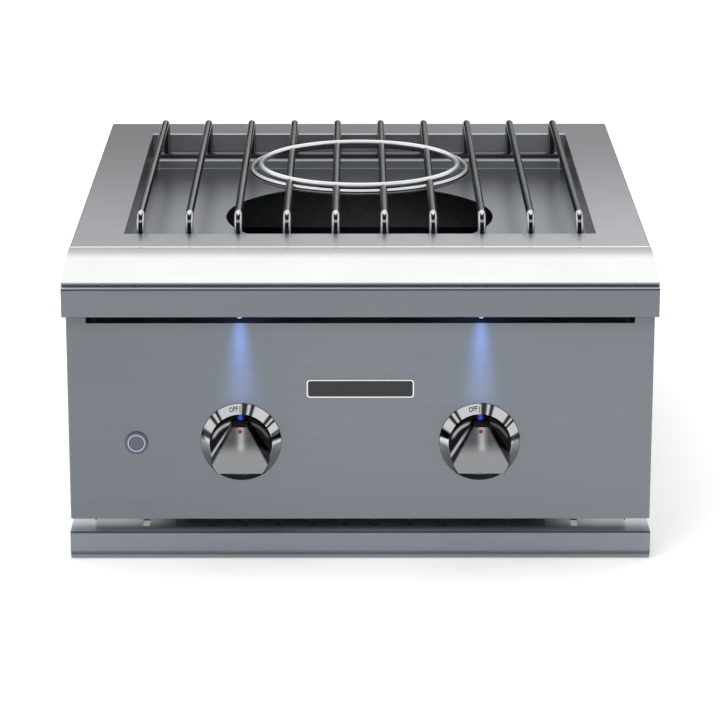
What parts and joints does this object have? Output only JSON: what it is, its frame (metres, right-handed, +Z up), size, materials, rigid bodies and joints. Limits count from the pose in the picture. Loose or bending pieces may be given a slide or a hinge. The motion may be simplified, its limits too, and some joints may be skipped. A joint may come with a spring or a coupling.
{
  "type": "power burner",
  "caption": "Drop-in outdoor gas burner: steel deck with a sunken burner, bent-rod grate with wok rings, lit control panel with push-and-turn knobs, and a slide-out drip tray.",
  "frame": {"origin": "middle of the base, on the surface that the rails stand on", "axes": "+X to the user's right, +Y to the back, +Z up"},
  "size_m": [0.565, 0.7044, 0.3093],
  "materials": {
    "deck_steel": "fine brushed stainless sheet",
    "nose_steel": "polished stainless sheet",
    "panel_steel": "brushed stainless sheet, grain across the width",
    "case_steel": "plain mill-finish sheet",
    "pan_steel": "brushed stainless sheet",
    "well_steel": "heat-darkened steel sheet",
    "rod_steel": "ground stainless rod",
    "wok_wire": "bright polished wire",
    "knob_chrome": "polished chrome plate",
    "bezel_chrome": "polished chrome plate",
    "marker_red": "glossy red enamel",
    "brass": "machined brass",
    "burner_cast": "cast burner, dull grey",
    "tube_steel": "drawn tube",
    "black_plastic": "moulded black plastic",
    "white_insulator": "glazed insulator",
    "lens_clear": "clear lens, lit blue-white",
    "light_ring": "milky ring, lit blue-white",
    "switch_steel": "turned stainless",
    "screw_steel": "plain stainless screws",
    "tray_steel": "brushed stainless sheet"
  },
  "bodies": {
    "chassis": {"top_deck": "deck_steel", "front_nose": "nose_steel", "fascia": "panel_steel", "control_panel": "panel_steel", "rear_panel": "case_steel", "front_partition": "case_steel", "burner_pan": "pan_steel", "burner_box": "well_steel", "burner_outer_ring": "burner_cast", "burner_inner_ring": "burner_cast", "burner_support": "case_steel", "outer_mixing_tube": "tube_steel", "inner_mixing_tube": "tube_steel", "gas_manifold": "tube_steel", "manifold_plug": "brass", "manifold_bracket": "case_steel", "gas_inlet_fitting": "brass", "switch_body": "switch_steel", "light_ring": "light_ring", "switch_nut": "screw_steel", "lamp_strip": "white_insulator", "igniter_electrode": "white_insulator", "igniter_bracket": "case_steel", "spark_module": "black_plastic", "power_inlet": "black_plastic", "bezel_screws": "screw_steel", "panel_screws": "screw_steel", "left_side_panel": "case_steel", "left_base_rail": "case_steel", "left_orifice": "brass", "left_valve_body": "brass", "left_bezel": "bezel_chrome", "left_lamp_lens": "lens_clear", "right_side_panel": "case_steel", "right_base_rail": "case_steel", "right_orifice": "brass", "right_valve_body": "brass", "right_bezel": "bezel_chrome", "right_lamp_lens": "lens_clear"},
    "grate": {"grate_side_rods": "rod_steel", "grate_rod_4": "rod_steel", "grate_rod_5": "rod_steel", "grate_rod_6": "rod_steel", "grate_rod_7": "rod_steel", "grate_cross_bars": "rod_steel", "wok_ring_inner": "wok_wire", "wok_ring_outer": "wok_wire"},
    "tray": {"drip_tray": "tray_steel"},
    "button": {"button_cap": "switch_steel"},
    "left_stem": {"left_valve_stem": "brass"},
    "left_knob": {"left_knob": "knob_chrome", "left_knob_marker": "marker_red"},
    "left_shutter": {"left_air_shutter": "tube_steel"},
    "right_stem": {"right_valve_stem": "brass"},
    "right_knob": {"right_knob": "knob_chrome", "right_knob_marker": "marker_red"},
    "right_shutter": {"right_air_shutter": "tube_steel"}
  },
  "joints": [
    {"name": "left_valve_turn", "type": "hinge", "parent": "chassis", "child": "left_stem", "pos_m": [-0.1143, -0.3122, 0.1183], "axis": [0, -1, 0], "range_deg": [0, 210]},
    {"name": "left_knob_push", "type": "slide", "parent": "left_stem", "child": "left_knob", "axis": [0, 1, 0], "range_m": [0, 0.004], "stiffness_N_per_m": 1500},
    {"name": "left_shutter_turn", "type": "hinge", "parent": "chassis", "child": "left_shutter", "pos_m": [-0.1143, -0.2342, 0.1183], "axis": [0, 1, 0], "range_deg": [0, 60]},
    {"name": "right_valve_turn", "type": "hinge", "parent": "chassis", "child": "right_stem", "pos_m": [0.1143, -0.3122, 0.1183], "axis": [0, -1, 0], "range_deg": [0, 210]},
    {"name": "right_knob_push", "type": "slide", "parent": "right_stem", "child": "right_knob", "axis": [0, 1, 0], "range_m": [0, 0.004], "stiffness_N_per_m": 1500},
    {"name": "right_shutter_turn", "type": "hinge", "parent": "chassis", "child": "right_shutter", "pos_m": [0.1143, -0.2342, 0.1183], "axis": [0, 1, 0], "range_deg": [0, 60]},
    {"name": "button_press", "type": "slide", "parent": "chassis", "child": "button", "axis": [0, 1, 0], "range_m": [0, 0.0015], "stiffness_N_per_m": 900},
    {"name": "grate_lift", "type": "slide", "parent": "chassis", "child": "grate", "axis": [0, 0, 1], "range_m": [0, 0.1]},
    {"name": "tray_slide", "type": "slide", "parent": "chassis", "child": "tray", "axis": [0, -1, 0], "range_m": [0, 0.35]}
  ]
}
